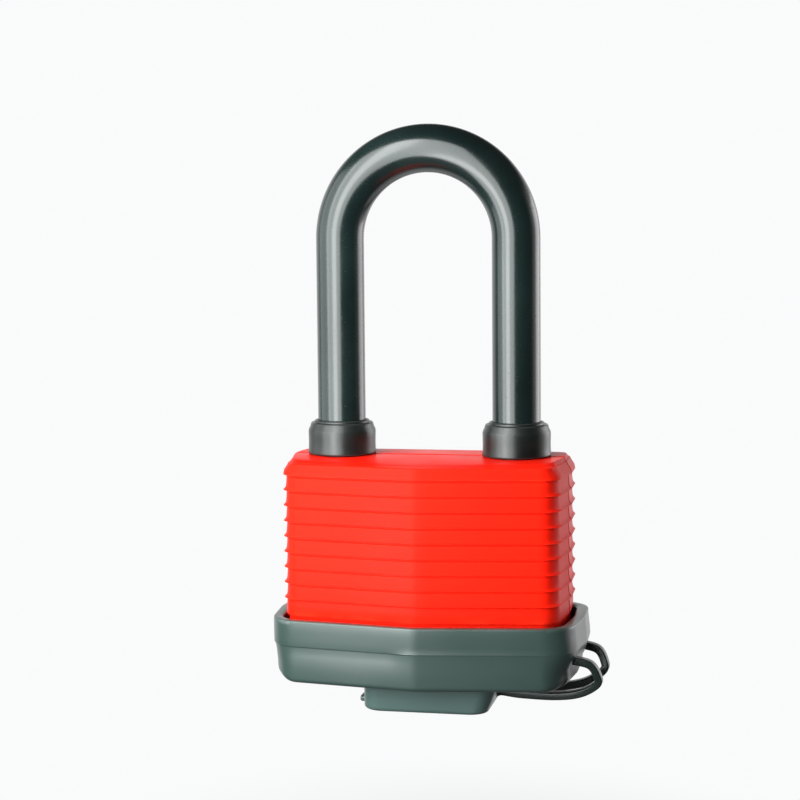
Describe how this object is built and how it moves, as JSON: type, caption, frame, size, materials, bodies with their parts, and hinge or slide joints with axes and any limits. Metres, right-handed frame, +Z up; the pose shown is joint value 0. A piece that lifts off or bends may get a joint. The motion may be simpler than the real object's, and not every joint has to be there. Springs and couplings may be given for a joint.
{
  "type": "padlock",
  "caption": "Long-shackle laminated padlock in a ribbed weatherproof jacket, with rubber shackle collars, a base bumper and a swinging keyway cover.",
  "frame": {"origin": "the point of the keyway cover's underside that lies on the axis of the lock's plug", "axes": "+Z up along the plug's axis, from the keyway cover towards the shackle's bow; +X towards the toe leg of the shackle and the cover's strap; the front of the lock faces -Y"},
  "size_m": [0.0626, 0.034, 0.1089],
  "materials": {
    "jacket": "gloss",
    "bumper": "satin",
    "shackle": "gloss",
    "collar": "satin",
    "plate": "zinc plated",
    "steel": "satin",
    "spring": "drawn wire",
    "brass": "machined"
  },
  "bodies": {
    "lock_case": {"front_jacket": "jacket", "rear_jacket": "jacket", "base_bumper": "bumper", "cover_strap_front": "bumper", "cover_strap_rear": "bumper", "body_plate_01": "plate", "body_plate_02": "plate", "body_plate_03": "plate", "body_plate_04": "plate", "body_plate_05": "plate", "body_plate_06": "plate", "body_plate_07": "plate", "body_plate_08": "plate", "body_plate_09": "plate", "body_plate_10": "plate", "body_plate_11": "plate", "body_plate_12": "plate", "body_plate_13": "plate", "body_rivet_1": "steel", "body_rivet_2": "steel", "body_rivet_3": "steel", "body_rivet_4": "steel", "shackle_collar_left": "collar", "shackle_collar_right": "collar", "shackle_spring": "spring", "cylinder_housing": "brass", "chamber_cap": "brass", "driver_pin_1": "steel", "driver_pin_2": "steel", "driver_pin_3": "steel", "driver_pin_4": "steel", "pin_spring_1": "spring", "pin_spring_2": "spring", "pin_spring_3": "spring", "pin_spring_4": "spring"},
    "shackle": {"shackle": "shackle"},
    "plug": {"cylinder_plug": "brass", "plug_clip": "spring", "latch_cam": "steel"},
    "latch_left": {"latch_left": "steel"},
    "latch_right": {"latch_right": "steel"},
    "keyway_cover": {"keyway_cover": "bumper"},
    "plug_pin_1": {"plug_pin_1": "brass"},
    "plug_pin_2": {"plug_pin_2": "brass"},
    "plug_pin_3": {"plug_pin_3": "brass"},
    "plug_pin_4": {"plug_pin_4": "brass"}
  },
  "joints": [
    {"name": "shackle_lift", "type": "slide", "parent": "lock_case", "child": "shackle", "axis": [0, 0, 1], "range_m": [0, 0.0196], "deforming": ["shackle_spring"]},
    {"name": "plug_turn", "type": "hinge", "parent": "lock_case", "child": "plug", "pos_m": [0, 0, 0.02], "axis": [0, 0, 1], "range_deg": [0, 90]},
    {"name": "latch_left_slide", "type": "slide", "parent": "lock_case", "child": "latch_left", "axis": [-1, 0, 0], "range_m": [0, 0.002]},
    {"name": "latch_right_slide", "type": "slide", "parent": "lock_case", "child": "latch_right", "axis": [1, 0, 0], "range_m": [0, 0.002]},
    {"name": "cover_swing", "type": "hinge", "parent": "lock_case", "child": "keyway_cover", "pos_m": [0.0324, 0, 0.006], "axis": [0, -1, 0], "range_deg": [0, 120], "deforming": ["cover_strap_front", "cover_strap_rear"]},
    {"name": "plug_pin_1_slide", "type": "slide", "parent": "plug", "child": "plug_pin_1", "axis": [-1, 0, 0], "range_m": [0, 0.001]},
    {"name": "plug_pin_2_slide", "type": "slide", "parent": "plug", "child": "plug_pin_2", "axis": [-1, 0, 0], "range_m": [0, 0.001]},
    {"name": "plug_pin_3_slide", "type": "slide", "parent": "plug", "child": "plug_pin_3", "axis": [-1, 0, 0], "range_m": [0, 0.001]},
    {"name": "plug_pin_4_slide", "type": "slide", "parent": "plug", "child": "plug_pin_4", "axis": [-1, 0, 0], "range_m": [0, 0.001]}
  ],
  "couplings": [
    {"joint": "latch_left_slide", "follows": "plug_turn", "m_per_rad": 0.00127},
    {"joint": "latch_right_slide", "follows": "plug_turn", "m_per_rad": 0.00127}
  ]
}
